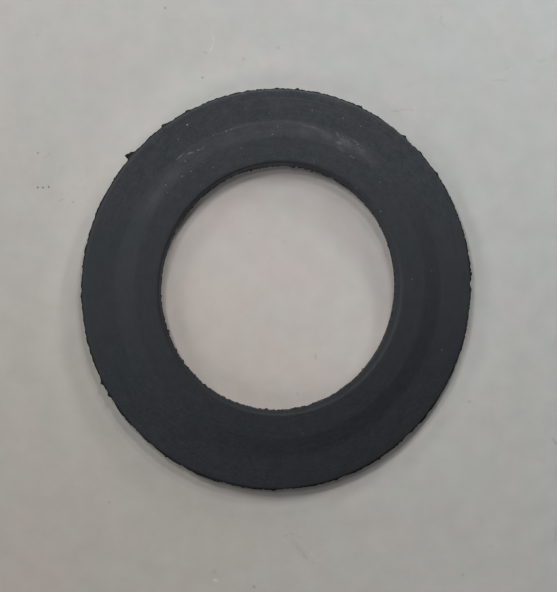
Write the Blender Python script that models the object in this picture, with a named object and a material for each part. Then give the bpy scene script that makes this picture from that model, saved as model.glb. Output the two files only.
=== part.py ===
"""Flush valve seal: one moulded rubber ring, lying flat with its raised land up.

The ring is one section carried round the bore. From the outside in, the section has a flat rim with a
rounded lip, a conical shoulder, a flat raised land and a rounded corner into the bore. Both walls carry
the ragged fin of flash that the mould left on its parting line, with the tags where it was torn off.
Lengths are in metres, +Z is up, and the origin is under the ring's centre, on its flat underside.
"""

import math
from typing import NamedTuple

import bmesh
import bpy

TURN = 2.0 * math.pi

# Widths of the ring, from the bore outwards
BORE_DIAMETER = 0.0382
BORE_WALL_LEAN = 0.00025
BORE_ROUND = 0.00065
LAND_WIDTH = 0.0035
SHOULDER_WIDTH = 0.0028
RIM_WIDTH = 0.00495

# Heights
RIM_THICKNESS = 0.0022
LAND_RISE = 0.0008

# Rounds and drafts
RIM_ROUND = 0.0003
SHOULDER_BLEND = 0.0002
EDGE_BREAK = 0.0003
LOWER_DRAFT = 0.00015
ROUND_STEPS = 3

# The bore lies a little off the rim's centre, and a little oval
BORE_OFFSET = 0.00025
BORE_OFFSET_DEGREES = 90.0
BORE_OVAL = 0.00016
BORE_OVAL_DEGREES = 66.0

# Fin of flash on the parting line
FLASH_REACH = 0.0002
FLASH_ROOT_THICKNESS = 0.00022
FLASH_EDGE_THICKNESS = 0.00008
OUTER_FLASH_WAVES = ((29, 0.22), (61, 0.24), (97, 0.20))
BORE_FLASH_WAVES = ((23, 0.20), (47, 0.26), (71, 0.24))

# Sections round the ring
EVEN_SECTIONS = 188
LEAST_SECTION_GAP_DEGREES = 0.4

# Charcoal rubber
RUBBER_COLOUR = (0.030, 0.032, 0.036, 1.0)
RUBBER_ROUGHNESS = 0.62

SMOOTH_ANGLE_DEGREES = 32.0


class Tag(NamedTuple):
    """A torn tag on a fin: where its crest is, how far it stands out, its two slopes and its blunt crest."""

    degrees: float
    reach: float
    slope_before: float
    slope_after: float
    crest: float = 0.0


OUTER_TAGS = (
    Tag(4.4, 0.00022, 0.00040, 0.00040),
    Tag(35.5, 0.00022, 0.00035, 0.00060),
    Tag(43.3, 0.00020, 0.00050, 0.00035),
    Tag(49.8, 0.00024, 0.00035, 0.00055),
    Tag(65.3, 0.00026, 0.00030, 0.00090),
    Tag(84.7, 0.00024, 0.00030, 0.00060),
    Tag(118.3, 0.00026, 0.00070, 0.00035),
    Tag(126.3, 0.00030, 0.00090, 0.00035),
    Tag(139.3, 0.00072, 0.00120, 0.00026, 0.00034),
    Tag(207.0, 0.00030, 0.00050, 0.00040),
    Tag(211.0, 0.00030, 0.00040, 0.00050),
    Tag(301.6, 0.00026, 0.00040, 0.00035),
)

BORE_TAGS = (
    Tag(74.7, 0.00022, 0.00045, 0.00030),
    Tag(84.0, 0.00022, 0.00040, 0.00040),
    Tag(199.8, 0.00020, 0.00040, 0.00035),
    Tag(215.6, 0.00022, 0.00035, 0.00040),
    Tag(242.0, 0.00018, 0.00045, 0.00035),
    Tag(264.0, 0.00018, 0.00035, 0.00045),
    Tag(317.0, 0.00022, 0.00040, 0.00035),
)

# Worked out from the sizes above
BORE_RADIUS = BORE_DIAMETER / 2.0
LAND_INNER_RADIUS = BORE_RADIUS + BORE_WALL_LEAN + BORE_ROUND
LAND_OUTER_RADIUS = LAND_INNER_RADIUS + LAND_WIDTH
SHOULDER_FOOT_RADIUS = LAND_OUTER_RADIUS + SHOULDER_WIDTH
RIM_RADIUS = SHOULDER_FOOT_RADIUS + RIM_WIDTH
LAND_HEIGHT = RIM_THICKNESS + LAND_RISE
PARTING_HEIGHT = RIM_THICKNESS - RIM_ROUND


def clear_scene():
    """Empty the scene of its objects."""
    for old in list(bpy.data.objects):
        bpy.data.objects.remove(old, do_unlink=True)


def quarter_round(centre_radius, centre_height, size, start_degrees):
    """Corners of a quarter round of the section, turning anticlockwise from start_degrees."""
    corners = []
    for step in range(ROUND_STEPS + 1):
        bearing = math.radians(start_degrees + 90.0 * step / ROUND_STEPS)
        corners.append((centre_radius + size * math.cos(bearing), centre_height + size * math.sin(bearing)))
    return corners


def fin(wall_radius, reach):
    """Two corners of a fin's edge, reach metres out of the wall (inwards where reach is below nought)."""
    middle = PARTING_HEIGHT - FLASH_ROOT_THICKNESS / 2.0
    half_edge = FLASH_EDGE_THICKNESS / 2.0
    return [(wall_radius + reach, middle - half_edge), (wall_radius + reach, middle + half_edge)]


def underside():
    """The flat underside with its broken edges, from the bore out to the rim's wall."""
    return [
        (BORE_RADIUS + LOWER_DRAFT + EDGE_BREAK, 0.0),
        (RIM_RADIUS - LOWER_DRAFT - EDGE_BREAK, 0.0),
        (RIM_RADIUS - LOWER_DRAFT, EDGE_BREAK),
    ]


def shoulder():
    """The conical shoulder between the rim and the land, eased at its foot and its crest."""
    eased_rise = SHOULDER_BLEND * LAND_RISE / SHOULDER_WIDTH
    return [
        (SHOULDER_FOOT_RADIUS + SHOULDER_BLEND, RIM_THICKNESS),
        (SHOULDER_FOOT_RADIUS - SHOULDER_BLEND, RIM_THICKNESS + eased_rise),
        (LAND_OUTER_RADIUS + SHOULDER_BLEND, LAND_HEIGHT - eased_rise),
        (LAND_OUTER_RADIUS - SHOULDER_BLEND, LAND_HEIGHT),
    ]


def section(outer_reach, bore_reach):
    """The ring's whole section as (radius, height) corners, anticlockwise from the underside's inner edge."""
    fin_foot = PARTING_HEIGHT - FLASH_ROOT_THICKNESS
    corners = underside()
    corners.append((RIM_RADIUS, fin_foot))
    corners += fin(RIM_RADIUS, outer_reach)
    corners += quarter_round(RIM_RADIUS - RIM_ROUND, PARTING_HEIGHT, RIM_ROUND, 0.0)
    corners += shoulder()
    corners += quarter_round(LAND_INNER_RADIUS, LAND_HEIGHT - BORE_ROUND, BORE_ROUND, 90.0)
    corners.append((BORE_RADIUS, PARTING_HEIGHT))
    corners += reversed(fin(BORE_RADIUS, -bore_reach))
    corners.append((BORE_RADIUS, fin_foot))
    corners.append((BORE_RADIUS + LOWER_DRAFT, EDGE_BREAK))
    return corners


def turn_between(angle, other):
    """The signed turn from other to angle, at most half a turn either way."""
    return (angle - other + math.pi) % TURN - math.pi


def tag_reach(tag, radius, angle):
    """How far one tag stands out at an angle: straight slopes from its blunt crest down to its two feet."""
    along = turn_between(angle, math.radians(tag.degrees)) * radius
    slope = tag.slope_after if along > 0.0 else tag.slope_before
    past_crest = max(0.0, abs(along) - tag.crest / 2.0)
    return tag.reach * max(0.0, 1.0 - past_crest / slope)


def flash_reach(angle, radius, waves, tags):
    """How far a fin stands out of its wall at an angle: an even reach, ragged by waves, plus its tags."""
    ragged = 1.0 + sum(share * math.sin(count * angle + count) for count, share in waves)
    return FLASH_REACH * ragged + sum(tag_reach(tag, radius, angle) for tag in tags)


def section_angles():
    """Angles of the sections: each tag's crest and its two feet, and an even division of the turn between."""
    crests, feet = [], []
    for tags, radius in ((OUTER_TAGS, RIM_RADIUS), (BORE_TAGS, BORE_RADIUS)):
        for tag in tags:
            crest = math.radians(tag.degrees)
            half_crest = tag.crest / 2.0
            crests += [crest - half_crest / radius, crest + half_crest / radius]
            feet += [crest - (half_crest + tag.slope_before) / radius, crest + (half_crest + tag.slope_after) / radius]
    even = [TURN * step / EVEN_SECTIONS for step in range(EVEN_SECTIONS)]
    least_gap = math.radians(LEAST_SECTION_GAP_DEGREES)
    kept = []
    for angle in crests + feet + even:
        if all(abs(turn_between(angle, other)) >= least_gap for other in kept):
            kept.append(angle % TURN)
    return sorted(kept)


def placed(radius, height, angle):
    """A corner of the section in space, drawn towards the bore's own centre and oval as it nears the bore."""
    nearness = (RIM_RADIUS - radius) / (RIM_RADIUS - BORE_RADIUS)
    offset = BORE_OFFSET * math.cos(angle - math.radians(BORE_OFFSET_DEGREES))
    oval = BORE_OVAL * math.cos(2.0 * (angle - math.radians(BORE_OVAL_DEGREES)))
    true_radius = radius + nearness * (offset + oval)
    return (true_radius * math.cos(angle), true_radius * math.sin(angle), height)


def ring_mesh():
    """The ring's mesh: a section at each angle, joined to the next by a strip of faces for each side."""
    mesh = bpy.data.meshes.new("seal_ring")
    bm = bmesh.new()
    rows = []
    for angle in section_angles():
        outer_reach = flash_reach(angle, RIM_RADIUS, OUTER_FLASH_WAVES, OUTER_TAGS)
        bore_reach = flash_reach(angle, BORE_RADIUS, BORE_FLASH_WAVES, BORE_TAGS)
        corners = section(outer_reach, bore_reach)
        rows.append([bm.verts.new(placed(radius, height, angle)) for radius, height in corners])
    for row, next_row in zip(rows, rows[1:] + rows[:1]):
        for side in range(len(row)):
            after = (side + 1) % len(row)
            bm.faces.new((row[side], next_row[side], next_row[after], row[after]))
    bm.to_mesh(mesh)
    bm.free()
    mesh.shade_smooth()
    mesh.set_sharp_from_angle(angle=math.radians(SMOOTH_ANGLE_DEGREES))
    return mesh


def charcoal_rubber():
    """Dull charcoal-black rubber."""
    material = bpy.data.materials.new("charcoal_rubber")
    material.use_nodes = True
    shader = material.node_tree.nodes["Principled BSDF"]
    shader.inputs["Base Color"].default_value = RUBBER_COLOUR
    shader.inputs["Roughness"].default_value = RUBBER_ROUGHNESS
    shader.inputs["Metallic"].default_value = 0.0
    return material


def main():
    """Model the seal."""
    clear_scene()
    ring = bpy.data.objects.new("seal_ring", ring_mesh())
    ring.data.materials.append(charcoal_rubber())
    bpy.context.scene.collection.objects.link(ring)


main()
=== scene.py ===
"""The looks of a flush valve seal: one moulded rubber ring, lying flat on a pale table.

The ring is one closed surface on a grid. One way, the grid follows the ring's section, and the other way it
follows the turn about the bore, so that the torn flash, the marks left by handling, the painted highlights
and the slight waviness of soft rubber are functions of the bearing and of the place on the section.
"""

import logging
import math
from dataclasses import dataclass, field
from enum import Enum

import bpy
import numpy as np
from mathutils import Matrix, Vector

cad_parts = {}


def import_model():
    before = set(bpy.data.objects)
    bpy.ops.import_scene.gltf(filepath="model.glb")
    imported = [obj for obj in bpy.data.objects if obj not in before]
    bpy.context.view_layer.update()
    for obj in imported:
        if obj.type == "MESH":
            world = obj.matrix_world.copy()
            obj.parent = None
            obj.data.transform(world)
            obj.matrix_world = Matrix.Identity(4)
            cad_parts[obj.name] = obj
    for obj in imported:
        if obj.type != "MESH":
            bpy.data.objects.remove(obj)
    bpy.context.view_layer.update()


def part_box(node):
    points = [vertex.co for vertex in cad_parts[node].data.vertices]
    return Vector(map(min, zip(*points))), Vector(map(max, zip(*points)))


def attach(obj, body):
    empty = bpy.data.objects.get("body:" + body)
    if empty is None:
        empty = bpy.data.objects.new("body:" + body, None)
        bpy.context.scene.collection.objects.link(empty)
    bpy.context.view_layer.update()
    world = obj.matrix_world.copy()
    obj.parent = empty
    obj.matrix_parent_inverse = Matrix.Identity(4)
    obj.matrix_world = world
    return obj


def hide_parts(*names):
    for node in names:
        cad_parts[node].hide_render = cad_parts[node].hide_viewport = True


LOG = logging.getLogger("flush_valve_seal")
MM = 0.001
TURN = 2.0 * math.pi
NODE = "seal_ring"
BODY = "root"
PHOTO_SIZE = (557, 592)
FLASH_LAYER = "flash_share"

Colour = tuple[float, float, float, float]
Pair = tuple[float, float]

WHITE: Colour = (1.0, 1.0, 1.0, 1.0)


class Wall(Enum):
    """Which way a wall's fin of flash stands out: away from the ring's axis, or towards it."""

    OUTER = 1.0
    BORE = -1.0


class Mark(Enum):
    """Kinds of pale mark on the rubber: chalky scuffs with painted highlights among them, soft bloom, turned
    streaks and grains of dust.
    """

    SCUFF_AND_HIGHLIGHT = "scuff_and_highlight"
    BLOOM = "bloom"
    STREAK = "streak"
    GRAIN = "grain"


def turn_between(bearings: np.ndarray, other: float) -> np.ndarray:
    """Signed turns from one bearing to many.

    Args:
        bearings: Bearings in radians.
        other: The bearing to measure from, in radians.

    Returns:
        The turns in radians, at most half a turn either way.
    """
    return (bearings - other + math.pi) % TURN - math.pi


def ragged(bearings: np.ndarray, teeth: int, seed: int) -> np.ndarray:
    """Random heights that close on themselves after one turn.

    One height is drawn for each tooth, and straight lines join them round the circle.

    Args:
        bearings: Bearings in radians.
        teeth: How many heights there are in a turn.
        seed: The seed of the draw.

    Returns:
        A height for each bearing, about nought, with a spread of about one.
    """
    heights = np.random.default_rng(seed).standard_normal(teeth)
    spots = np.arange(teeth) * TURN / teeth
    return np.interp(bearings, spots, heights, period=TURN)


def line(start: Pair, end: Pair, count: int) -> np.ndarray:
    """A straight run of the section, evenly spaced.

    Args:
        start: The first point, as radius and height.
        end: Where the next run starts, as radius and height. It is left out.
        count: How many points the run has.

    Returns:
        Rows of radius, height and two noughts, the shares of the two fins.
    """
    share = np.arange(count)[:, None] / count
    points = np.asarray(start) * (1.0 - share) + np.asarray(end) * share
    return np.pad(points, ((0, 0), (0, 2)))


def arc(centre: Pair, size: float, first: float, last: float, count: int) -> np.ndarray:
    """A round corner of the section, evenly turned about its centre.

    Args:
        centre: The corner's centre, as radius and height.
        size: The corner's own radius.
        first: The first point's direction in degrees, turning from outwards to upwards.
        last: The direction at which the next run starts. That point is left out.
        count: How many points the run has.

    Returns:
        Rows of radius, height and two noughts, the shares of the two fins.
    """
    direction = np.radians(first + (last - first) * np.arange(count) / count)
    points = np.asarray(centre) + size * np.stack([np.cos(direction), np.sin(direction)], axis=1)
    return np.pad(points, ((0, 0), (0, 2)))


@dataclass(frozen=True)
class Tag:
    """A torn tag on a fin: a blunt crest, with straight slopes down to its two feet, that may hook over."""

    degrees: float
    reach: float
    slope_before: float
    slope_after: float
    crest: float = 0.0
    hook: float = 0.0

    def heights(self, bearings: np.ndarray, radius: float) -> np.ndarray:
        """How far the tag stands out at each bearing.

        Args:
            bearings: Bearings in radians.
            radius: The wall's radius.

        Returns:
            The tag's height at each bearing, nought away from it.
        """
        along = turn_between(bearings, math.radians(self.degrees)) * radius
        slope = np.where(along > 0.0, self.slope_after, self.slope_before)
        past_crest = np.clip(np.abs(along) - self.crest / 2.0, 0.0, None)
        return self.reach * np.clip(1.0 - past_crest / slope, 0.0, 1.0)


OUTER_TAGS = (
    Tag(4.4, 0.22 * MM, 0.40 * MM, 0.40 * MM),
    Tag(35.5, 0.22 * MM, 0.35 * MM, 0.60 * MM),
    Tag(43.3, 0.20 * MM, 0.50 * MM, 0.35 * MM),
    Tag(49.8, 0.24 * MM, 0.35 * MM, 0.55 * MM),
    Tag(65.3, 0.26 * MM, 0.30 * MM, 0.90 * MM),
    Tag(84.7, 0.24 * MM, 0.30 * MM, 0.60 * MM),
    Tag(118.3, 0.26 * MM, 0.70 * MM, 0.35 * MM),
    Tag(126.3, 0.30 * MM, 0.90 * MM, 0.35 * MM),
    Tag(139.3, 0.72 * MM, 1.20 * MM, 0.26 * MM, crest=0.34 * MM, hook=0.22 * MM),
    Tag(207.0, 0.30 * MM, 0.50 * MM, 0.40 * MM),
    Tag(211.0, 0.30 * MM, 0.40 * MM, 0.50 * MM),
    Tag(301.6, 0.26 * MM, 0.40 * MM, 0.35 * MM),
)

BORE_TAGS = (
    Tag(74.7, 0.22 * MM, 0.45 * MM, 0.30 * MM),
    Tag(84.0, 0.22 * MM, 0.40 * MM, 0.40 * MM),
    Tag(199.8, 0.20 * MM, 0.40 * MM, 0.35 * MM),
    Tag(215.6, 0.22 * MM, 0.35 * MM, 0.40 * MM),
    Tag(242.0, 0.18 * MM, 0.45 * MM, 0.35 * MM),
    Tag(264.0, 0.18 * MM, 0.35 * MM, 0.45 * MM),
    Tag(317.0, 0.22 * MM, 0.40 * MM, 0.35 * MM),
)


@dataclass(frozen=True)
class Fin:
    """The ragged fin of flash that the mould leaves on one wall, along its parting line."""

    wall: Wall
    tags: tuple[Tag, ...]
    seed: int
    reach: float = 0.20 * MM
    least_reach: float = 0.04 * MM
    teeth: tuple[tuple[int, float], ...] = (
        (28, 0.020 * MM),
        (90, 0.026 * MM),
        (260, 0.036 * MM),
        (640, 0.044 * MM),
    )
    root: float = 0.22 * MM
    droop: float = 0.03 * MM
    droops: int = 140
    droop_seed: int = 5

    def reaches(self, bearings: np.ndarray, radius: float) -> np.ndarray:
        """How far the fin stands out of its wall.

        Rows of teeth roughen the even reach, coarse ones first, and the tags stand on top.

        Args:
            bearings: Bearings in radians.
            radius: The wall's radius.

        Returns:
            Changes of radius: above nought on the outer wall, below it in the bore.
        """
        total = np.full_like(bearings, self.reach)
        for row, (count, depth) in enumerate(self.teeth):
            total += depth * ragged(bearings, count, self.seed + row)
        total = np.maximum(total, self.least_reach)
        for tag in self.tags:
            total += tag.heights(bearings, radius)
        return self.wall.value * total

    def hooks(self, bearings: np.ndarray, radius: float) -> np.ndarray:
        """How far the tags' ends are drawn along the wall.

        Args:
            bearings: Bearings in radians.
            radius: The wall's radius.

        Returns:
            Changes of bearing, in radians.
        """
        total = np.zeros_like(bearings)
        for tag in self.tags:
            total += tag.hook * tag.heights(bearings, radius) / tag.reach
        return total / radius

    def run(self, radius: float, start: float, end: float) -> np.ndarray:
        """The fin's run of the section: a blunt wedge between its two roots.

        Args:
            radius: The wall's radius.
            start: Height of the root that comes first.
            end: Height of the other root, which is left out.

        Returns:
            Rows of radius, height, share of the outer fin's reach and share of the bore fin's.
        """
        share = np.array([0.0, 0.55, 0.94, 1.0, 0.94, 0.55])
        along = np.array([0.0, 0.20, 0.38, 0.50, 0.62, 0.80])
        rows = np.zeros((len(share), 4))
        rows[:, 0] = radius
        rows[:, 1] = start + (end - start) * along
        rows[:, 2 if self.wall is Wall.OUTER else 3] = share
        return rows


@dataclass(frozen=True)
class Smudge:
    """A soft-edged oval mark on the top of the ring, at a bearing and a distance from the axis."""

    mark: Mark
    degrees: float
    radius: float
    half_length: float
    half_width: float
    slant_degrees: float = 0.0
    strength: float = 1.0


def grain(degrees: float, radius_mm: float, size_mm: float = 0.13, strength: float = 0.5) -> Smudge:
    """A round grain of pale dust.

    Args:
        degrees: Its bearing.
        radius_mm: Its distance from the axis in millimetres.
        size_mm: Its own radius in millimetres.
        strength: How pale it is, from nought to one.

    Returns:
        The grain as a mark.
    """
    return Smudge(Mark.GRAIN, degrees, radius_mm * MM, size_mm * MM, size_mm * MM, strength=strength)


SMUDGES = (
    Smudge(Mark.SCUFF_AND_HIGHLIGHT, 78.6, 25.90 * MM, 2.6 * MM, 0.42 * MM, slant_degrees=3.0, strength=0.50),
    Smudge(Mark.SCUFF_AND_HIGHLIGHT, 73.2, 25.30 * MM, 2.2 * MM, 0.95 * MM, slant_degrees=6.0, strength=0.36),
    Smudge(Mark.SCUFF_AND_HIGHLIGHT, 66.2, 25.45 * MM, 2.0 * MM, 1.15 * MM, slant_degrees=10.0, strength=0.62),
    Smudge(Mark.SCUFF_AND_HIGHLIGHT, 68.0, 24.75 * MM, 0.8 * MM, 0.42 * MM, slant_degrees=-8.0, strength=0.95),
    Smudge(Mark.SCUFF_AND_HIGHLIGHT, 69.5, 26.00 * MM, 0.6 * MM, 0.28 * MM, slant_degrees=50.0, strength=0.80),
    Smudge(Mark.SCUFF_AND_HIGHLIGHT, 66.4, 23.95 * MM, 1.2 * MM, 0.62 * MM, slant_degrees=10.0, strength=0.36),
    Smudge(Mark.SCUFF_AND_HIGHLIGHT, 59.8, 25.35 * MM, 2.7 * MM, 1.10 * MM, slant_degrees=-4.0, strength=0.52),
    Smudge(Mark.SCUFF_AND_HIGHLIGHT, 62.8, 26.15 * MM, 1.6 * MM, 0.22 * MM, slant_degrees=4.0, strength=0.50),
    Smudge(Mark.SCUFF_AND_HIGHLIGHT, 61.3, 23.75 * MM, 0.9 * MM, 0.25 * MM, slant_degrees=-12.0, strength=0.50),
    Smudge(Mark.SCUFF_AND_HIGHLIGHT, 53.5, 24.90 * MM, 2.2 * MM, 1.10 * MM, slant_degrees=-8.0, strength=0.24),
    # Painted highlights: two thin pale bands along the foot of the shoulder, where its edge catches the light.
    Smudge(Mark.SCUFF_AND_HIGHLIGHT, 90.0, 26.22 * MM, 6.5 * MM, 0.22 * MM, strength=0.22),
    Smudge(Mark.SCUFF_AND_HIGHLIGHT, 106.0, 26.20 * MM, 5.5 * MM, 0.20 * MM, strength=0.26),
    Smudge(Mark.SCUFF_AND_HIGHLIGHT, 127.6, 26.17 * MM, 1.2 * MM, 0.14 * MM, slant_degrees=-4.0, strength=1.40),
    Smudge(Mark.SCUFF_AND_HIGHLIGHT, 124.2, 25.72 * MM, 0.75 * MM, 0.17 * MM, slant_degrees=16.0, strength=1.70),
    Smudge(Mark.SCUFF_AND_HIGHLIGHT, 121.2, 25.42 * MM, 0.50 * MM, 0.18 * MM, slant_degrees=14.0, strength=1.50),
    Smudge(Mark.SCUFF_AND_HIGHLIGHT, 119.6, 25.30 * MM, 0.45 * MM, 0.13 * MM, slant_degrees=-30.0, strength=1.00),
    Smudge(Mark.SCUFF_AND_HIGHLIGHT, 126.0, 25.60 * MM, 2.6 * MM, 0.60 * MM, slant_degrees=6.0, strength=0.22),
    Smudge(Mark.SCUFF_AND_HIGHLIGHT, 134.0, 24.80 * MM, 3.0 * MM, 1.30 * MM, strength=0.20),
    Smudge(Mark.SCUFF_AND_HIGHLIGHT, 145.0, 24.60 * MM, 4.0 * MM, 1.30 * MM, strength=0.22),
    Smudge(Mark.BLOOM, 74.0, 24.90 * MM, 11.0 * MM, 1.90 * MM, strength=0.9),
    Smudge(Mark.BLOOM, 106.0, 24.90 * MM, 10.0 * MM, 1.70 * MM, strength=0.5),
    Smudge(Mark.BLOOM, 136.0, 24.60 * MM, 7.0 * MM, 1.50 * MM, strength=0.4),
    Smudge(Mark.STREAK, 76.0, 30.90 * MM, 5.5 * MM, 0.60 * MM, strength=0.9),
    Smudge(Mark.STREAK, 86.0, 29.60 * MM, 10.0 * MM, 2.20 * MM, strength=1.0),
    Smudge(Mark.STREAK, 86.0, 25.20 * MM, 9.0 * MM, 1.60 * MM, strength=0.8),
    grain(120.2, 29.63, 0.19, 1.0),
    grain(109.5, 26.15, 0.15, 0.70),
    grain(114.2, 26.33, 0.12, 0.45),
    grain(107.6, 26.20, 0.12, 0.45),
    grain(127.4, 25.14, 0.15, 0.55),
    grain(128.1, 23.41, 0.14, 0.60),
    grain(131.9, 23.72, 0.17, 0.50),
    grain(138.4, 24.56, 0.14, 0.55),
    grain(122.3, 23.46, 0.13, 0.45),
    grain(128.6, 20.83, 0.15, 0.35),
    grain(119.9, 21.98, 0.15, 0.40),
    grain(106.4, 22.97, 0.14, 0.45),
    grain(107.5, 22.13, 0.14, 0.35),
    grain(125.0, 28.50, 0.16, 0.40),
    grain(93.5, 24.29, 0.15, 0.60),
    grain(91.3, 25.44, 0.15, 0.35),
    grain(93.8, 27.58, 0.13, 0.40),
    grain(79.7, 28.52, 0.15, 0.50),
    grain(69.3, 28.72, 0.15, 0.50),
    grain(63.2, 28.72, 0.14, 0.50),
    grain(61.3, 25.95, 0.13, 0.70),
    grain(62.6, 26.14, 0.12, 0.60),
    grain(62.0, 23.69, 0.13, 0.55),
    grain(60.6, 23.65, 0.13, 0.45),
    grain(54.6, 24.73, 0.13, 0.45),
    grain(53.3, 24.16, 0.13, 0.40),
    grain(46.8, 23.16, 0.15, 0.50),
    grain(75.5, 20.68, 0.14, 0.45),
    grain(289.6, 29.26, 0.16, 0.76),
    grain(264.9, 28.39, 0.16, 0.68),
    grain(265.4, 22.02, 0.16, 0.66),
    grain(236.7, 26.48, 0.16, 0.63),
    grain(297.7, 26.36, 0.16, 0.62),
    grain(254.7, 26.63, 0.15, 0.56),
    grain(299.2, 29.49, 0.15, 0.55),
    grain(313.9, 29.72, 0.15, 0.54),
    grain(287.6, 28.22, 0.15, 0.54),
)


@dataclass(frozen=True)
class Noise:
    """Smooth random values: bumps to a metre, finer layers and their strength, and the range that shows."""

    scale: float
    detail: float = 2.0
    roughness: float = 0.5
    low: float = 0.0
    high: float = 1.0


class NodeSheet:
    """A material's nodes, added and linked by short calls."""

    def __init__(self, name: str) -> None:
        """Make an empty material that ends in one Principled BSDF.

        Args:
            name: The material's name.
        """
        self.material = bpy.data.materials.new(name)
        self.material.use_nodes = True
        self.tree = self.material.node_tree
        self.shader = self.tree.nodes["Principled BSDF"]
        self.place = self.add("ShaderNodeTexCoord").outputs["Object"]
        self.x, self.y, self.z = self.add("ShaderNodeSeparateXYZ", Vector=self.place).outputs
        self.from_axis = self.length(self.tinted(self.place, (1.0, 1.0, 0.0)))

    def add(self, kind: str, settings: dict | None = None, **inputs: object) -> bpy.types.Node:
        """Add a node.

        Args:
            kind: Blender's name of the node type.
            settings: Values of the node's own properties.
            inputs: Values or outputs for its sockets, by name, with a low line for each space.

        Returns:
            The new node.
        """
        node = self.tree.nodes.new(kind)
        for key, value in (settings or {}).items():
            setattr(node, key, value)
        for key, value in inputs.items():
            self.feed(node.inputs[key.replace("_", " ")], value)
        return node

    def feed(self, socket: bpy.types.NodeSocket, value: object) -> None:
        """Give a socket a value, or link an output to it.

        Args:
            socket: The input to fill.
            value: A number, a tuple of numbers or another node's output.
        """
        if isinstance(value, bpy.types.NodeSocket):
            self.tree.links.new(value, socket)
        else:
            socket.default_value = value

    def math(self, operation: str, first: object, second: object = 0.0) -> bpy.types.NodeSocket:
        """One sum of two numbers.

        Args:
            operation: Blender's name of the sum.
            first: The first number or output.
            second: The second number or output.

        Returns:
            The result.
        """
        node = self.add("ShaderNodeMath", {"operation": operation})
        self.feed(node.inputs[0], first)
        self.feed(node.inputs[1], second)
        return node.outputs[0]

    def plus(self, first: object, *others: object) -> bpy.types.NodeSocket:
        """Numbers or outputs, added up.

        Args:
            first: The first of them.
            others: The rest.

        Returns:
            Their sum, which is the first itself where there is no other.
        """
        total = first
        for other in others:
            total = self.math("ADD", total, other)
        return total

    def times(self, first: object, second: object) -> bpy.types.NodeSocket:
        """One number or output multiplied by another."""
        return self.math("MULTIPLY", first, second)

    def ramp(self, value: object, low: float, high: float, to_low: float = 0.0,
             to_high: float = 1.0) -> bpy.types.NodeSocket:
        """A value carried smoothly from one range to another, and held at its ends.

        Args:
            value: The number or output to carry over.
            low: Where the range starts.
            high: Where it ends.
            to_low: The result at the start and below it.
            to_high: The result at the end and above it.

        Returns:
            The result, by Blender's smooth step.
        """
        node = self.add("ShaderNodeMapRange", {"interpolation_type": "SMOOTHSTEP"}, Value=value,
                        From_Min=low, From_Max=high, To_Min=to_low, To_Max=to_high)
        return node.outputs["Result"]

    def mix(self, share: object, first: object, second: object) -> bpy.types.NodeSocket:
        """A colour between two colours.

        Args:
            share: How much of the second colour there is, from nought to one.
            first: The first colour.
            second: The second colour.

        Returns:
            The mixed colour.
        """
        node = self.add("ShaderNodeMix", {"data_type": "RGBA"})
        self.feed(node.inputs["Factor"], share)
        self.feed(node.inputs[6], first)
        self.feed(node.inputs[7], second)
        return node.outputs[2]

    def noise(self, noise: Noise, place: bpy.types.NodeSocket | None = None) -> bpy.types.NodeSocket:
        """Smooth random values, as they come.

        Args:
            noise: The kind of noise.
            place: The vector that says where a point is, or none for Object coordinates.

        Returns:
            A value from nought to one at each point.
        """
        node = self.add("ShaderNodeTexNoise", Vector=self.place if place is None else place,
                        Scale=noise.scale, Detail=noise.detail, Roughness=noise.roughness)
        return node.outputs["Fac"]

    def cloud(self, noise: Noise, to_low: float = 0.0, to_high: float = 1.0,
              place: bpy.types.NodeSocket | None = None) -> bpy.types.NodeSocket:
        """Smooth random values, carried from the range that shows to another.

        Args:
            noise: The kind of noise, and the range that shows.
            to_low: The result where the noise is low.
            to_high: The result where it is high.
            place: The vector that says where a point is, or none for Object coordinates.

        Returns:
            The result at each point.
        """
        return self.ramp(self.noise(noise, place), noise.low, noise.high, to_low, to_high)

    def layer(self, name: str) -> bpy.types.NodeSocket:
        """The value of one of the mesh's own attributes."""
        return self.add("ShaderNodeAttribute", {"attribute_name": name}).outputs["Fac"]

    def tinted(self, colour: object, tint: object) -> bpy.types.NodeSocket:
        """A colour or vector multiplied by another, or by a number, part by part.

        Args:
            colour: The colour or vector.
            tint: What it is multiplied by.

        Returns:
            The product.
        """
        node = self.add("ShaderNodeVectorMath", {"operation": "MULTIPLY"})
        self.feed(node.inputs[0], colour)
        self.feed(node.inputs[1], tint)
        return node.outputs[0]

    def length(self, vector: bpy.types.NodeSocket) -> bpy.types.NodeSocket:
        """The length of a vector.

        Args:
            vector: The vector.

        Returns:
            Its length.
        """
        node = self.add("ShaderNodeVectorMath", {"operation": "LENGTH"})
        self.feed(node.inputs[0], vector)
        return node.outputs["Value"]

    def spot(self, place: bpy.types.NodeSocket, centre: Pair, half_sizes: Pair,
             turn: float = 0.0) -> bpy.types.NodeSocket:
        """An oval that fades from one at its centre to nought at its edge.

        Args:
            place: The vector that says where a point is.
            centre: The oval's centre, in the same two measures.
            half_sizes: Its half length and half width.
            turn: How far its length is turned from the first measure, in radians.

        Returns:
            The oval's strength at the point.
        """
        own = self.add("ShaderNodeMapping", {"vector_type": "TEXTURE"}, Vector=place,
                       Location=(*centre, 0.0), Rotation=(0.0, 0.0, turn), Scale=(*half_sizes, 1.0))
        return self.ramp(self.length(own.outputs["Vector"]), 0.0, 1.0, 1.0, 0.0)

    def unrolled(self, radius: float) -> bpy.types.NodeSocket:
        """The ring laid out straight.

        Args:
            radius: The distance from the axis at which the way round keeps its length.

        Returns:
            A vector: the bearing times the radius, then the distance from the axis.
        """
        bearing = self.math("ARCTAN2", self.y, self.x)
        strip = self.add("ShaderNodeCombineXYZ", X=self.times(bearing, radius), Y=self.from_axis)
        return strip.outputs["Vector"]


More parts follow.
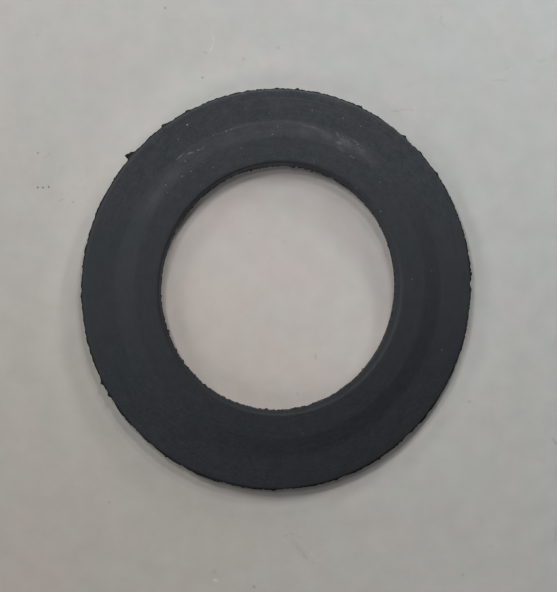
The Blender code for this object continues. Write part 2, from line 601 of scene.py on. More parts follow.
@dataclass(frozen=True)
class MouldedRubber:
    """Dull charcoal rubber with a faint bloom, chalky scuffs and pale dust, and with painted light and shade:
    paler up the table, drifting over the ring, paler on the bore's wall, and a painted highlight along the
    shoulder's foot.
    """

    # Colours
    # The first two colours are painted shade and painted light: the rubber is mixed from the darker copy to
    # the paler one up the table, where more light falls.
    painted_shade_colour: Colour = (0.0176, 0.0195, 0.0223, 1.0)
    painted_light_colour: Colour = (0.0342, 0.0373, 0.0418, 1.0)
    cool: Colour = (0.968, 1.006, 1.016, 1.0)
    warm: Colour = (1.012, 1.000, 0.992, 1.0)
    chalk: Colour = (0.125, 0.130, 0.135, 1.0)
    dust: Colour = (0.220, 0.220, 0.215, 1.0)
    torn_rim: Colour = (0.0050, 0.0053, 0.0058, 1.0)
    torn_bore: Colour = (0.0480, 0.0440, 0.0450, 1.0)
    # Sizes of the ring that the finish follows
    middle_radius: float = 25.0 * MM
    half_size: float = 30.0 * MM
    shading_reach: float = 34.0 * MM
    outward: Pair = (24.0 * MM, 26.0 * MM)
    full_flash: float = 0.6
    # The grain of the rubber
    fine: Noise = Noise(2600.0, 4.0, 0.6, 0.3, 0.7)
    turning: Noise = Noise(3800.0, 2.0, 0.5, 0.40, 0.75)
    tints: Noise = Noise(110.0, 2.0, 0.5, 0.36, 0.64)
    mottling: Noise = Noise(700.0, 5.0, 0.70, 0.25, 0.75)
    mottled: float = 0.12
    streaks: Noise = Noise(2300.0, 3.0, 0.65, 0.25, 0.75)
    streak_scale: tuple[float, float, float] = (0.16, 1.0, 1.0)
    drawn_out: float = 0.09
    specks: Noise = Noise(4300.0, 1.0, 0.5, 0.25, 0.75)
    speckled: float = 0.14
    speckled_reach: Pair = (4.0 * MM, 20.0 * MM)
    quiet_sides: float = 0.55
    crumbs: Noise = Noise(4600.0, 2.0, 0.5, 0.42, 0.56)
    # Painted light and shade: the slow drift of tone over the ring
    side_drift: float = -0.045
    corner_drift: float = 0.14
    shoulder_fade: float = -0.27
    shoulder_crest: Pair = (23.2 * MM, 23.9 * MM)
    shoulder_foot: Pair = (26.0 * MM, 26.5 * MM)
    round_across: float = 0.28
    round_below: float = 0.34
    round_edge: Pair = (19.4 * MM, 20.2 * MM)
    # Painted light: the bore's wall made paler at the upper left, where it lies in shade
    # The most painted light on the bore's wall, as a gain on its colour.
    worn: float = 1.35
    bore_light_bearing: float = 135.0
    bore_light_reach: Pair = (7.0 * MM, 19.0 * MM)
    bore_light_heights: Pair = (2.45 * MM, 2.95 * MM)
    bore_light_edge: Pair = (20.5 * MM, 21.0 * MM)
    # Chalk and dust
    blooming: Noise = Noise(420.0, 4.0, 0.62, 0.34, 0.70)
    bloom_strengths: Pair = (0.01, 0.10)
    rubbing: Noise = Noise(3600.0, 4.0, 0.75, 0.36, 0.66)
    scuff_strengths: Pair = (0.14, 0.74)
    streak_strengths: Pair = (0.0, 0.16)
    most_chalk: float = 0.9
    chalky_range: Pair = (0.56, 0.85)
    chalky_strengths: Pair = (0.0, 0.07)
    dust_scale: float = 560.0
    dust_share: Pair = (0.74, 0.78)
    dust_size: Pair = (0.03, 0.075)
    dust_strengths: Pair = (0.05, 0.50)
    # The dull surface
    roughness: float = 0.575
    roughness_spread: float = 0.03
    scuffed_roughness: float = 0.3
    specular: float = 0.12
    relief: float = 0.02 * MM
    relief_strength: float = 0.25
    fine_relief: float = 0.7
    turned_relief: float = 0.25

    def make(self) -> bpy.types.Material:
        """Build the material.

        Returns:
            The finished material, on Object coordinates and the fins' own mark.
        """
        sheet = NodeSheet("moulded_rubber")
        fine = sheet.noise(self.fine)
        colour = self.colour_with_painted_light(sheet)
        turned = self.turning_marks(sheet)
        pale = self.pale_marks(sheet, turned)
        colour = sheet.mix(pale, colour, self.chalk)
        chalky = sheet.ramp(fine, *self.chalky_range, *self.chalky_strengths)
        colour = sheet.mix(chalky, colour, self.chalk)
        colour = sheet.mix(self.dust_grains(sheet), colour, self.dust)
        flash = sheet.ramp(sheet.layer(FLASH_LAYER), 0.0, self.full_flash)
        colour = sheet.mix(flash, colour, self.torn_colour(sheet))
        # The bore's wall gets painted light, paler at the upper left.
        sheet.feed(sheet.shader.inputs["Base Color"], sheet.tinted(colour, self.painted_light_on_bore(sheet)))
        rough = sheet.ramp(fine, self.fine.low, self.fine.high,
                           self.roughness - self.roughness_spread, self.roughness + self.roughness_spread)
        scuffed = sheet.times(pale, self.scuffed_roughness)
        sheet.feed(sheet.shader.inputs["Roughness"], sheet.plus(rough, scuffed))
        sheet.shader.inputs["Specular IOR Level"].default_value = self.specular
        height = sheet.plus(sheet.times(fine, self.fine_relief), sheet.times(turned, self.turned_relief))
        bump = sheet.add("ShaderNodeBump", Height=height, Strength=self.relief_strength, Distance=self.relief)
        sheet.feed(sheet.shader.inputs["Normal"], bump.outputs["Normal"])
        return sheet.material

    def colour_with_painted_light(self, sheet: NodeSheet) -> bpy.types.NodeSocket:
        """The rubber's charcoal with painted light and shade: a mix from a painted-shade copy to a
        painted-light copy up the table, times the painted drift of light and shade, a random tint and the
        rubber's grain.

        Args:
            sheet: The material's nodes.

        Returns:
            The colour, without marks or dust.
        """
        # Painted light and shade: the rubber made paler up the table and darker towards its near side.
        shade = sheet.ramp(sheet.y, -self.shading_reach, self.shading_reach)
        colour = sheet.tinted(sheet.mix(shade, self.painted_shade_colour, self.painted_light_colour), self.painted_light_drift(sheet))
        colour = sheet.tinted(colour, sheet.mix(sheet.cloud(self.tints), self.cool, self.warm))
        return sheet.tinted(colour, self.uneven_tone(sheet))

    def torn_colour(self, sheet: NodeSheet) -> bpy.types.NodeSocket:
        """The fins' colour: dark on the rim, and dark with pale crumbs in the bore.

        Args:
            sheet: The material's nodes.

        Returns:
            The colour of the torn flash.
        """
        outward = sheet.ramp(sheet.from_axis, *self.outward)
        crumbly = sheet.mix(sheet.cloud(self.crumbs), self.torn_rim, self.torn_bore)
        return sheet.mix(outward, crumbly, self.torn_rim)

    def painted_light_drift(self, sheet: NodeSheet) -> bpy.types.NodeSocket:
        """Painted light and shade: the ring made slowly paler or darker from side to side and from corner to
        corner.

        It is a sum of products of the two distances from the middle, with its own share of painted light and
        shade on the shoulder and on the round into the bore.

        Args:
            sheet: The material's nodes.

        Returns:
            A factor about one for the rubber's colour.
        """
        across = sheet.math("DIVIDE", sheet.x, self.half_size)
        along = sheet.math("DIVIDE", sheet.y, self.half_size)
        shoulder = sheet.times(sheet.ramp(sheet.from_axis, *self.shoulder_crest),
                               sheet.ramp(sheet.from_axis, *self.shoulder_foot, 1.0, 0.0))
        evened = sheet.times(sheet.times(along, shoulder), self.shoulder_fade)
        crossed = sheet.times(sheet.times(across, along), self.corner_drift)
        drift = sheet.plus(sheet.times(across, self.side_drift), crossed)
        below = sheet.times(sheet.math("MINIMUM", along, 0.0), self.round_below)
        rounded = sheet.times(sheet.ramp(sheet.from_axis, *self.round_edge, 1.0, 0.0),
                              sheet.plus(sheet.times(across, self.round_across), below))
        return sheet.plus(1.0, rounded, drift, evened)

    def painted_light_on_bore(self, sheet: NodeSheet) -> bpy.types.NodeSocket:
        """Painted light on the wall of the bore, which is made paler at the upper left, where it lies in
        shade.

        The painted light grows with the distance from the axis along its bearing, on the bore's wall alone.

        Args:
            sheet: The material's nodes.

        Returns:
            A factor from one upwards for the rubber's colour.
        """
        bearing = math.radians(self.bore_light_bearing)
        towards = sheet.plus(sheet.times(sheet.x, math.cos(bearing)), sheet.times(sheet.y, math.sin(bearing)))
        wall = sheet.times(sheet.ramp(sheet.z, *self.bore_light_heights, 1.0, 0.0),
                           sheet.ramp(sheet.from_axis, *self.bore_light_edge, 1.0, 0.0))
        return sheet.plus(1.0, sheet.times(sheet.ramp(towards, *self.bore_light_reach, 0.0, self.worn), wall))

    def uneven_tone(self, sheet: NodeSheet) -> bpy.types.NodeSocket:
        """The grain of the rubber: soft mottling, finer streaks drawn out along the turn, and fine speckle.

        The speckle shows where the light comes along the ring's width, and little at the ring's two sides.

        Args:
            sheet: The material's nodes.

        Returns:
            A factor about one for the rubber's colour.
        """
        strip = sheet.unrolled(self.middle_radius)
        drawn = sheet.add("ShaderNodeMapping", Vector=strip, Scale=self.streak_scale)
        mottled = sheet.cloud(self.mottling, -self.mottled, self.mottled)
        streaked = sheet.cloud(self.streaks, -self.drawn_out, self.drawn_out, drawn.outputs["Vector"])
        from_sides = sheet.ramp(sheet.math("ABSOLUTE", sheet.y), *self.speckled_reach)
        specked = sheet.cloud(self.specks, -self.speckled, self.speckled)
        shown = sheet.plus(self.quiet_sides, sheet.times(from_sides, 1.0 - self.quiet_sides))
        uneven = sheet.times(sheet.plus(mottled, streaked), shown)
        return sheet.plus(1.0, uneven, sheet.times(specked, from_sides))

    def turning_marks(self, sheet: NodeSheet) -> bpy.types.NodeSocket:
        """Fine rings left by the turned mould: random values of the distance from the axis alone.

        Args:
            sheet: The material's nodes.

        Returns:
            A value from nought to one at each distance.
        """
        node = sheet.add("ShaderNodeTexNoise", {"noise_dimensions": "1D"}, W=sheet.from_axis,
                         Scale=self.turning.scale, Detail=self.turning.detail)
        return node.outputs["Fac"]

    def sum_of(self, sheet: NodeSheet, mark: Mark) -> bpy.types.NodeSocket:
        """The strengths of all the marks of one kind, added up.

        Args:
            sheet: The material's nodes.
            mark: The kind.

        Returns:
            The sum at each point of the ring.
        """
        place = sheet.unrolled(self.middle_radius)
        total = 0.0
        for smudge in SMUDGES:
            if smudge.mark is mark:
                centre = (math.radians(smudge.degrees) * self.middle_radius, smudge.radius)
                spot = sheet.spot(place, centre, (smudge.half_length, smudge.half_width),
                                  math.radians(smudge.slant_degrees))
                total = sheet.plus(total, sheet.times(spot, smudge.strength))
        return total

    def pale_marks(self, sheet: NodeSheet, turned: bpy.types.NodeSocket) -> bpy.types.NodeSocket:
        """The bloom, the streaks, and the scuffs with the painted highlights along the shoulder's foot,
        together.

        Args:
            sheet: The material's nodes.
            turned: The mould's turning marks.

        Returns:
            How much chalk shows, from nought to one.
        """
        clouded = sheet.cloud(self.blooming, *self.bloom_strengths)
        rubbed = sheet.cloud(self.rubbing, *self.scuff_strengths)
        wiped = sheet.ramp(turned, self.turning.low, self.turning.high, *self.streak_strengths)
        bloom = sheet.times(self.sum_of(sheet, Mark.BLOOM), clouded)
        streak = sheet.times(self.sum_of(sheet, Mark.STREAK), wiped)
        # The scuffs include the painted highlights along the shoulder's foot.
        scuff_and_highlight = sheet.times(self.sum_of(sheet, Mark.SCUFF_AND_HIGHLIGHT), rubbed)
        return sheet.math("MINIMUM", sheet.plus(bloom, streak, scuff_and_highlight), self.most_chalk)

    def dust_grains(self, sheet: NodeSheet) -> bpy.types.NodeSocket:
        """Pale grains: the large ones where they lie, and a small one in a few of the cells of a random net.

        Args:
            sheet: The material's nodes.

        Returns:
            How much dust shows, from nought to one.
        """
        cells = sheet.add("ShaderNodeTexVoronoi", Vector=sheet.place, Scale=self.dust_scale, Randomness=1.0)
        chosen = sheet.add("ShaderNodeSeparateColor", Color=cells.outputs["Color"])
        present = sheet.ramp(chosen.outputs["Red"], *self.dust_share)
        spot = sheet.ramp(cells.outputs["Distance"], *self.dust_size, 1.0, 0.0)
        faint = sheet.ramp(chosen.outputs["Green"], 0.0, 1.0, *self.dust_strengths)
        small = sheet.times(sheet.times(present, spot), faint)
        return sheet.math("MAXIMUM", small, sheet.math("MINIMUM", self.sum_of(sheet, Mark.GRAIN), 1.0))


@dataclass
class SealRing:
    """The moulded ring: its sizes, its surface and its rubber."""

    bore_radius: float = 19.1 * MM
    bore_wall_lean: float = 0.25 * MM
    bore_round: float = 0.65 * MM
    land_width: float = 3.5 * MM
    shoulder_width: float = 2.8 * MM
    rim_width: float = 4.95 * MM
    land_rise: float = 0.8 * MM
    rim_round: float = 0.3 * MM
    shoulder_blend: float = 0.30 * MM
    edge_break: float = 0.3 * MM
    lower_draft: float = 0.15 * MM
    bore_offset: float = 0.25 * MM
    bore_offset_degrees: float = 90.0
    bore_oval: float = 0.16 * MM
    bore_oval_degrees: float = 66.0
    ripple: float = 0.004 * MM
    ripple_width: float = 2.6 * MM
    ripple_waves: tuple[tuple[float, float, float, float], ...] = (
        (5.0, 0.7, 0.0, 1.0),
        (11.0, -1.0, 1.3, 1.0),
        (19.0, 1.6, 4.0, 0.6),
    )
    sections: int = 1280
    sharp_degrees: float = 40.0
    outer_fin: Fin = Fin(Wall.OUTER, OUTER_TAGS, seed=11)
    bore_fin: Fin = Fin(Wall.BORE, BORE_TAGS, seed=23)
    finish: MouldedRubber = MouldedRubber()
    land_height: float = field(init=False)
    rim_height: float = field(init=False)
    parting_height: float = field(init=False)
    land_inner: float = field(init=False)
    land_outer: float = field(init=False)
    shoulder_foot: float = field(init=False)
    rim_radius: float = field(init=False)

    def __post_init__(self) -> None:
        """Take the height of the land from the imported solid, and work out the radii and the parting line."""
        self.land_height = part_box(NODE)[1][2]
        self.rim_height = self.land_height - self.land_rise
        self.parting_height = self.rim_height - self.rim_round
        self.land_inner = self.bore_radius + self.bore_wall_lean + self.bore_round
        self.land_outer = self.land_inner + self.land_width
        self.shoulder_foot = self.land_outer + self.shoulder_width
        self.rim_radius = self.shoulder_foot + self.rim_width

    def shoulder(self) -> np.ndarray:
        """The shoulder's run of the section: straight, with a parabola that eases each end into the flat.

        Returns:
            Rows of radius, height and two noughts, from the rim to where the land's flat starts.
        """
        blend = self.shoulder_blend
        rise = blend * self.land_rise / self.shoulder_width
        share = np.arange(4) / 4.0
        foot = np.zeros((4, 4))
        foot[:, 0] = self.shoulder_foot + blend * (1.0 - 2.0 * share)
        foot[:, 1] = self.rim_height + rise * share**2
        slope = line((self.shoulder_foot - blend, self.rim_height + rise),
                     (self.land_outer + blend, self.land_height - rise), 5)
        crest = np.zeros((4, 4))
        crest[:, 0] = self.land_outer + blend * (1.0 - 2.0 * share)
        crest[:, 1] = self.land_height - rise * (1.0 - share) ** 2
        return np.concatenate([foot, slope, crest])

    def section(self) -> np.ndarray:
        """The whole section, anticlockwise from the underside's inner edge.

        Each run of it ends with how many points it has.

        Returns:
            Rows of radius, height, share of the outer fin's reach and share of the bore fin's.
        """
        fin_foot = self.parting_height - self.outer_fin.root
        rim, bore, edge = self.rim_radius, self.bore_radius, self.edge_break
        low_rim, low_bore = rim - self.lower_draft, bore + self.lower_draft
        lip, corner = rim - self.rim_round, self.land_inner - self.bore_round
        wall_top, top = self.land_height - self.bore_round, self.land_height
        return np.concatenate([
            line((low_bore + edge, 0.0), (low_rim - edge, 0.0), 3),
            arc((low_rim - edge, edge), edge, -90.0, 0.0, 4),
            line((low_rim, edge), (rim, fin_foot), 2),
            self.outer_fin.run(rim, fin_foot, self.parting_height),
            arc((lip, self.parting_height), self.rim_round, 0.0, 90.0, 8),
            line((lip, self.rim_height), (self.shoulder_foot + self.shoulder_blend, self.rim_height), 9),
            self.shoulder(),
            line((self.land_outer - self.shoulder_blend, top), (self.land_inner, top), 8),
            arc((self.land_inner, wall_top), self.bore_round, 90.0, 180.0, 8),
            line((corner, wall_top), (bore, self.parting_height), 3),
            self.bore_fin.run(bore, self.parting_height, fin_foot),
            line((bore, fin_foot), (low_bore, edge), 2),
            arc((low_bore + edge, edge), edge, 180.0, 270.0, 4),
        ])

    def out_of_true(self, bearings: np.ndarray, radii: np.ndarray) -> np.ndarray:
        """How far the ring is drawn towards its bore's own centre and oval.

        It is the offset's cosine and the oval's double cosine, in full at the bore and not at all at the rim.

        Args:
            bearings: Bearings in radians.
            radii: Distances from the axis.

        Returns:
            Changes of radius.
        """
        nearness = (self.rim_radius - radii) / (self.rim_radius - self.bore_radius)
        offset = self.bore_offset * np.cos(bearings - math.radians(self.bore_offset_degrees))
        oval = self.bore_oval * np.cos(2.0 * (bearings - math.radians(self.bore_oval_degrees)))
        return nearness * (offset + oval)

    def rippled(self, bearings: np.ndarray, radii: np.ndarray) -> np.ndarray:
        """The slight waviness of a soft face: three long sine waves that cross each other.

        Each wave has its count in a turn, its twist for each ripple's width, its start and its share.

        Args:
            bearings: Bearings in radians.
            radii: Distances from the axis.

        Returns:
            Changes of height.
        """
        across = radii / self.ripple_width
        return self.ripple * sum(share * np.sin(count * bearings + twist * across + start)
                                 for count, twist, start, share in self.ripple_waves)

    def surface(self) -> tuple[np.ndarray, np.ndarray]:
        """The ring's grid.

        A point is the section's point at its bearing: the radius moved by the fins and by the ring's being
        out of true, and the height by the ripple, in full on the upper faces and not at all below.

        Returns:
            Points as bearing by place on the section by (x, y, z), and each point's share of a fin.
        """
        bearings = np.arange(self.sections) * TURN / self.sections
        radii, heights, outer_share, bore_share = self.section().T
        column = bearings[:, None]
        fins = outer_share * self.outer_fin.reaches(bearings, self.rim_radius)[:, None]
        fins = fins + bore_share * self.bore_fin.reaches(bearings, self.bore_radius)[:, None]
        upper = np.clip(heights / self.parting_height - 1.0, 0.0, 1.0)
        fin = self.outer_fin
        droop = fin.droop * (outer_share + bore_share) * ragged(bearings, fin.droops, fin.droop_seed)[:, None]
        hooked = column + outer_share**4 * fin.hooks(bearings, self.rim_radius)[:, None]
        true_radii = radii + self.out_of_true(column, radii) + fins
        true_heights = heights + upper * self.rippled(column, radii) + droop
        points = np.stack([true_radii * np.cos(hooked), true_radii * np.sin(hooked),
                           np.broadcast_to(true_heights, true_radii.shape)], axis=2)
        return points, np.broadcast_to(outer_share + bore_share, true_radii.shape)

    def build(self) -> bpy.types.Object:
        """Make the ring's mesh from its grid and dress it.

        Returns:
            The ring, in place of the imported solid.
        """
        points, flash = self.surface()
        rows, sides = points.shape[:2]
        row, side = np.meshgrid(np.arange(rows), np.arange(sides), indexing="ij")
        next_row, next_side = (row + 1) % rows, (side + 1) % sides
        corners = np.stack([row * sides + side, next_row * sides + side,
                            next_row * sides + next_side, row * sides + next_side], axis=2).reshape(-1, 4)
        mesh = mesh_from_grid("moulded_seal_ring", points.reshape(-1, 3), corners)
        layer = mesh.attributes.new(FLASH_LAYER, "FLOAT", "POINT")
        layer.data.foreach_set("value", flash.astype(np.float32).ravel())
        mesh.shade_smooth()
        mesh.set_sharp_from_angle(angle=math.radians(self.sharp_degrees))
        mesh.materials.append(self.finish.make())
        ring = bpy.data.objects.new("moulded_seal_ring", mesh)
        bpy.context.scene.collection.objects.link(ring)
        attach(ring, BODY)
        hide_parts(NODE)
        return ring


def mesh_from_grid(name: str, points: np.ndarray, corners: np.ndarray) -> bpy.types.Mesh:
    """A mesh of four-sided faces, filled as whole arrays.

    Args:
        name: The mesh's name.
        points: Vertices, one row each.
        corners: Faces as four vertex numbers each, anticlockwise seen from outside.

    Returns:
        The mesh.
    """
    mesh = bpy.data.meshes.new(name)
    mesh.vertices.add(len(points))
    mesh.vertices.foreach_set("co", points.astype(np.float32).ravel())
    mesh.loops.add(corners.size)
    mesh.loops.foreach_set("vertex_index", corners.astype(np.int32).ravel())
    mesh.polygons.add(len(corners))
    mesh.polygons.foreach_set("loop_start", np.arange(0, corners.size, 4, dtype=np.int32))
    mesh.update(calc_edges=True)
    mesh.validate()
    return mesh


@dataclass(frozen=True)
class TableMark:
    """A small oval mark on the table, dark where its strength is above nought and pale where it is below."""

    x_mm: float
    y_mm: float
    half_length_mm: float
    half_width_mm: float
    turn_degrees: float
    strength: float

    def share(self, sheet: NodeSheet) -> bpy.types.NodeSocket:
        """How much of the mark shows.

        Args:
            sheet: The table's nodes.

        Returns:
            The mark's own strength at its middle, fading to nought at its edge.
        """
        half_sizes = (self.half_length_mm * MM, self.half_width_mm * MM)
        spot = sheet.spot(sheet.place, (self.x_mm * MM, self.y_mm * MM), half_sizes,
                          math.radians(self.turn_degrees))
        return sheet.times(spot, abs(self.strength))


TABLE_MARKS = (
    TableMark(19.3, 28.1, 1.20, 0.23, 8.6, 0.17),
    TableMark(20.8, 28.4, 1.19, 0.27, 5.8, 0.19),
    TableMark(22.0, 28.3, 0.60, 0.23, -22.9, 0.22),
    TableMark(1.8, -37.3, 0.31, 0.25, -74.5, 0.18),
    TableMark(1.6, -38.9, 0.52, 0.23, 10.8, 0.26),
    TableMark(2.7, -38.6, 0.81, 0.23, -11.9, 0.22),
    TableMark(3.9, -39.1, 0.90, 0.27, -28.1, 0.14),
    TableMark(3.7, -40.9, 3.16, 0.97, -47.0, 0.13),
    TableMark(4.9, -42.3, 0.90, 0.34, -47.0, 0.16),
    TableMark(3.3, -41.0, 2.55, 0.22, -47.0, -0.12),
    TableMark(6.3, -43.3, 0.27, 0.28, -47.7, 0.20),
    TableMark(6.0, -41.9, 0.73, 0.28, -73.4, -0.12),
    TableMark(-37.9, 15.8, 0.20, 0.23, -16.9, 1.25),
    TableMark(-37.1, 15.8, 0.20, 0.23, -28.1, 1.35),
    TableMark(-36.2, 15.9, 0.20, 0.25, 14.1, 1.15),
    TableMark(-37.9, 21.1, 0.22, 0.23, 18.6, 0.80),
    TableMark(-36.7, 20.5, 0.68, 0.28, 3.6, 0.12),
    TableMark(-36.2, 20.9, 0.45, 0.34, 29.9, 0.14),
    TableMark(-34.1, 18.9, 0.39, 0.41, 0.3, 0.10),
    TableMark(-30.2, 18.3, 0.30, 0.34, 7.8, 0.10),
    TableMark(-30.5, 17.6, 0.20, 0.25, 0.3, 0.16),
    TableMark(-31.2, 17.1, 0.20, 0.25, 21.7, 0.14),
    TableMark(-30.7, 15.6, 0.39, 0.28, 5.8, 0.10),
    TableMark(-34.2, 13.9, 0.67, 0.23, 17.8, 0.22),
    TableMark(-32.4, 13.6, 0.20, 0.25, 4.2, 0.42),
    TableMark(-34.2, 14.9, 0.20, 0.23, 9.5, 0.14),
    TableMark(-33.1, 15.0, 0.29, 0.25, -1.7, 0.10),
    TableMark(-10.3, 39.1, 1.39, 0.27, -80.0, -0.20),
    TableMark(-10.6, 37.6, 1.45, 0.27, -119.0, -0.28),
    TableMark(-11.6, 36.9, 0.70, 0.22, 160.0, 0.22),
    TableMark(26.7, 42.9, 1.01, 0.33, -104.0, 0.16),
    TableMark(27.0, 41.9, 1.05, 0.33, -52.0, 0.14),
    TableMark(36.4, 33.2, 2.05, 0.24, 1.0, 0.16),
    TableMark(37.8, 35.2, 0.88, 0.30, 26.0, 0.13),
    TableMark(43.4, 36.4, 1.38, 0.36, 6.0, 0.14),
    TableMark(-12.0, 33.0, 0.31, 0.27, -32.0, 0.58),
    TableMark(-18.0, 43.7, 0.36, 0.33, -25.0, 0.50),
    TableMark(-5.5, 36.0, 0.36, 0.39, -25.0, 0.25),
    TableMark(-38.0, 39.2, 0.35, 0.30, -25.0, 0.25),
    TableMark(0.1, 37.8, 0.46, 0.33, -17.0, 0.25),
    TableMark(-9.8, -44.2, 0.72, 0.45, 44.0, 0.20),
    TableMark(-9.6, -45.6, 0.68, 0.39, -13.0, -0.36),
    TableMark(-3.4, -46.8, 0.52, 0.39, -34.0, 0.43),
    TableMark(31.0, -45.9, 0.40, 0.36, -37.0, 0.40),
    TableMark(35.7, -41.4, 0.76, 0.39, -44.0, 0.14),
    TableMark(46.4, -24.8, 1.25, 0.30, -52.0, 0.32),
    TableMark(46.7, -39.6, 3.20, 0.33, 82.0, 0.16),
    TableMark(31.9, -18.1, 0.46, 0.33, -1.0, 0.29),
    TableMark(-26.6, -33.0, 0.42, 0.30, -45.0, 0.29),
    TableMark(-19.5, -38.1, 0.58, 0.30, -45.0, 0.14),
    TableMark(6.4, -10.7, 0.77, 0.33, -80.0, 0.23),
    TableMark(-4.3, 8.8, 0.66, 0.24, 0.0, 0.14),
    TableMark(1.2, 7.5, 0.75, 0.24, -30.0, 0.14),
    TableMark(3.5, -16.5, 0.43, 0.36, -44.0, 0.16),
    TableMark(-0.8, 5.1, 0.51, 0.30, -55.0, 0.13),
)


@dataclass(frozen=True)
class TableTop:
    """The pale table under the ring, a little warmer in places, with scratches and specks of dirt, and with
    painted shade and light: darker towards the near left, paler close to the ring.
    """

    width: float = 3.0
    gap: float = 0.02 * MM
    # The four corner tints carry painted shade: darker and warmer towards the near left.
    near_left: Colour = (0.338, 0.312, 0.282, 1.0)
    near_right: Colour = (0.359, 0.355, 0.335, 1.0)
    far_left: Colour = (0.402, 0.394, 0.374, 1.0)
    far_right: Colour = (0.408, 0.419, 0.413, 1.0)
    middle: Colour = (1.149, 1.084, 1.081, 1.0)
    rosy: Colour = (1.014, 0.994, 0.998, 1.0)
    green: Colour = (0.988, 1.005, 1.001, 1.0)
    grime: Colour = (0.070, 0.066, 0.062, 1.0)
    worn: Colour = (0.620, 0.610, 0.600, 1.0)
    half_across: float = 50.0 * MM
    half_along: float = 52.0 * MM
    under_ring: Pair = (24.0 * MM, 26.0 * MM)
    past_ring: Pair = (32.0 * MM, 41.0 * MM)
    # Painted light: the table made paler around the ring, where the ring's shadow falls.
    painted_light_near_ring: float = 0.085
    blotches: Noise = Noise(120.0, 3.0, 0.5, 0.36, 0.64)
    clouding: Noise = Noise(260.0, 5.0, 0.62, 0.25, 0.75)
    clouded: float = 0.038
    grit: Noise = Noise(1800.0, 3.0, 0.5, 0.30, 0.60)
    grit_strengths: Pair = (0.6, 1.0)
    roughness: float = 0.85
    specular: float = 0.2

    def paint(self) -> bpy.types.Material:
        """Build the table's paint.

        Returns:
            The material, on Object coordinates.
        """
        sheet = NodeSheet("table_paint")
        colour = self.ground(sheet)
        dark = self.sum_of(sheet, [mark for mark in TABLE_MARKS if mark.strength > 0.0])
        pale = self.sum_of(sheet, [mark for mark in TABLE_MARKS if mark.strength < 0.0])
        broken = sheet.cloud(self.grit, *self.grit_strengths)
        colour = sheet.mix(sheet.times(sheet.math("MINIMUM", dark, 1.0), broken), colour, self.grime)
        colour = sheet.mix(sheet.math("MINIMUM", pale, 1.0), colour, self.worn)
        sheet.feed(sheet.shader.inputs["Base Color"], colour)
        sheet.shader.inputs["Roughness"].default_value = self.roughness
        sheet.shader.inputs["Specular IOR Level"].default_value = self.specular
        return sheet.material

    def ground(self, sheet: NodeSheet) -> bpy.types.NodeSocket:
        """The table's colour, mixed across and along it between the tints of its four corners, which carry
        painted shade, darker and warmer towards the near left.

        The patch inside the ring is the warmest. Below the ring, where its edge is hidden, it gives way to
        the tint around it, which is painted a little paler close to the ring, as painted light where the
        ring's shadow falls. Two noises cloud the whole.

        Args:
            sheet: The table's nodes.

        Returns:
            The colour, without marks.
        """
        across = sheet.ramp(sheet.x, -self.half_across, self.half_across)
        along = sheet.ramp(sheet.y, -self.half_along, self.half_along)
        near = sheet.mix(across, self.near_left, self.near_right)
        far = sheet.mix(across, self.far_left, self.far_right)
        inside = sheet.ramp(sheet.from_axis, *self.under_ring, 1.0, 0.0)
        colour = sheet.tinted(sheet.mix(along, near, far), sheet.mix(inside, WHITE, self.middle))
        # Painted light around the ring, over its shadow.
        close = sheet.times(sheet.ramp(sheet.from_axis, *self.under_ring),
                            sheet.ramp(sheet.from_axis, *self.past_ring, self.painted_light_near_ring, 0.0))
        colour = sheet.tinted(colour, sheet.plus(1.0, close))
        colour = sheet.tinted(colour, sheet.mix(sheet.cloud(self.blotches), self.rosy, self.green))
        return sheet.tinted(colour, sheet.cloud(self.clouding, 1.0 - self.clouded, 1.0 + self.clouded))

    @staticmethod
    def sum_of(sheet: NodeSheet, marks: list[TableMark]) -> bpy.types.NodeSocket:
        """The strengths of some marks, added up."""
        return sheet.plus(0.0, *(mark.share(sheet) for mark in marks))

    def build(self) -> bpy.types.Object:
        """Lay the table.

        Returns:
            The table.
        """
        half = self.width / 2.0
        points = np.array([[-half, -half, -self.gap], [half, -half, -self.gap],
                           [half, half, -self.gap], [-half, half, -self.gap]])
        mesh = mesh_from_grid("table_top", points, np.array([[0, 1, 2, 3]]))
        mesh.materials.append(self.paint())
        table = bpy.data.objects.new("table_top", mesh)
        bpy.context.scene.collection.objects.link(table)
        return table


@dataclass(frozen=True)
class SoftLamp:
    """A square lamp, aimed at the middle of the ring."""

    name: str
    bearing: float
    elevation: float
    distance: float
    width: float
    watts: float

    def place(self) -> bpy.types.Object:
        """Hang the lamp.

        Returns:
            The lamp, facing the ring.
        """
        data = bpy.data.lights.new(self.name, "AREA")
        data.size = self.width
        data.energy = self.watts
        lamp = bpy.data.objects.new(self.name, data)
        turn, rise = math.radians(self.bearing), math.radians(self.elevation)
        away = Vector((math.cos(turn) * math.cos(rise), math.sin(turn) * math.cos(rise), math.sin(rise)))
        lamp.location = away * self.distance
        lamp.rotation_euler = away.to_track_quat("Z", "Y").to_euler()
        bpy.context.scene.collection.objects.link(lamp)
        return lamp


LAMPS = (
    SoftLamp("near_lamp", 80.0, 38.0, 0.90, 0.10, 1.10),
    SoftLamp("right_lamp", 40.0, 30.0, 0.40, 0.06, 0.174),
    SoftLamp("low_right_lamp", 60.0, 20.0, 0.40, 0.05, 0.471),
    SoftLamp("low_lamp", 80.0, 14.0, 0.40, 0.05, 0.381),
    SoftLamp("top_lamp", 90.0, 48.0, 0.90, 0.14, 1.96),
    SoftLamp("top_left_lamp", 135.0, 48.0, 0.90, 0.10, 2.07),
    SoftLamp("high_left_lamp", 150.0, 60.0, 0.90, 0.10, 1.17),
    SoftLamp("low_left_lamp", 150.0, 25.0, 0.90, 0.15, 1.73),
    SoftLamp("low_corner_lamp", 225.0, 25.0, 0.90, 0.40, 2.95),
)


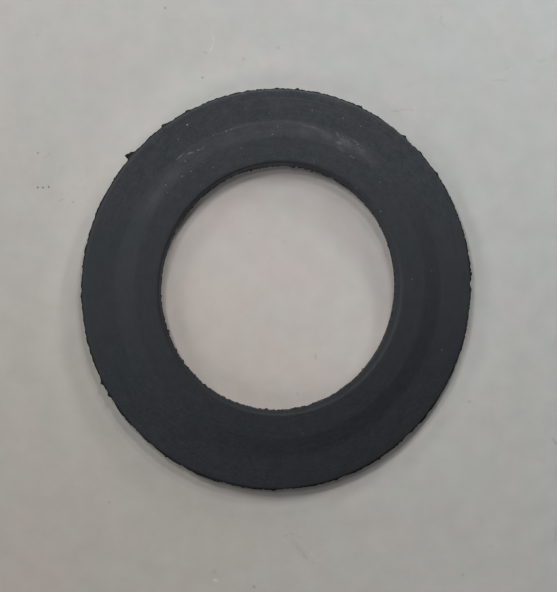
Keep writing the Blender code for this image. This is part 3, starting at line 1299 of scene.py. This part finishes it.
@dataclass(frozen=True)
class Studio:
    """Plain soft light: the lamps and an even surround."""

    lamps: tuple[SoftLamp, ...] = LAMPS
    surround: Colour = (0.95, 0.98, 1.0, 1.0)
    surround_strength: float = 0.010

    def light(self) -> None:
        """Hang the lamps, set the surround, and show colours as they are written."""
        for lamp in self.lamps:
            lamp.place()
        world = bpy.data.worlds.new("surround")
        world.use_nodes = True
        background = world.node_tree.nodes["Background"]
        background.inputs["Color"].default_value = self.surround
        background.inputs["Strength"].default_value = self.surround_strength
        bpy.context.scene.world = world
        bpy.context.scene.view_settings.view_transform = "Standard"


@dataclass(frozen=True)
class PhotographCamera:
    """A long lens above the ring, leaning over a little from the left of the picture."""

    distance: float = 480.0 * MM
    tilt: float = 14.4
    bearing: float = 171.3
    pixels_per_metre: float = 6392.0
    aim: tuple[float, float, float] = (-0.06 * MM, -1.0 * MM, 1.6 * MM)
    sensor: float = 36.0
    clip: Pair = (0.01, 10.0)

    def place(self) -> bpy.types.Object:
        """Make the camera the scene's own.

        The picture's axes are the tilt's own axis and the line across it, turned back by the tilt's
        bearing, so that the table's +Y stays up in the picture.

        Returns:
            The camera.
        """
        tilt, bearing = math.radians(self.tilt), math.radians(self.bearing)
        lean = Vector((math.cos(bearing), math.sin(bearing), 0.0))
        back = lean * math.sin(tilt) + Vector((0.0, 0.0, math.cos(tilt)))
        hinge = Vector((math.sin(bearing), -math.cos(bearing), 0.0))
        across = back.cross(hinge)
        right = hinge * math.sin(bearing) + across * math.cos(bearing)
        up = back.cross(right)
        spot = Vector(self.aim) + back * self.distance
        data = bpy.data.cameras.new("photograph_camera")
        data.sensor_width = self.sensor
        data.lens = self.sensor * self.pixels_per_metre * self.distance / max(PHOTO_SIZE)
        data.clip_start, data.clip_end = self.clip
        camera = bpy.data.objects.new("photograph_camera", data)
        camera.matrix_world = Matrix.Translation(spot) @ Matrix((right, up, back)).transposed().to_4x4()
        bpy.context.scene.collection.objects.link(camera)
        bpy.context.scene.camera = camera
        return camera


def main() -> None:
    """Build the ring, its table, the light and the camera."""
    logging.basicConfig(level=logging.INFO, format="%(name)s: %(message)s")
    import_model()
    ring = SealRing().build()
    LOG.info("%s: %d faces, %.1f mm across", ring.name, len(ring.data.polygons), ring.dimensions.x / MM)
    table = TableTop().build()
    LOG.info("%s: stage", table.name)
    Studio().light()
    camera = PhotographCamera().place()
    LOG.info("%s: lens %.0f mm", camera.name, camera.data.lens)


if __name__ == "__main__":
    main()
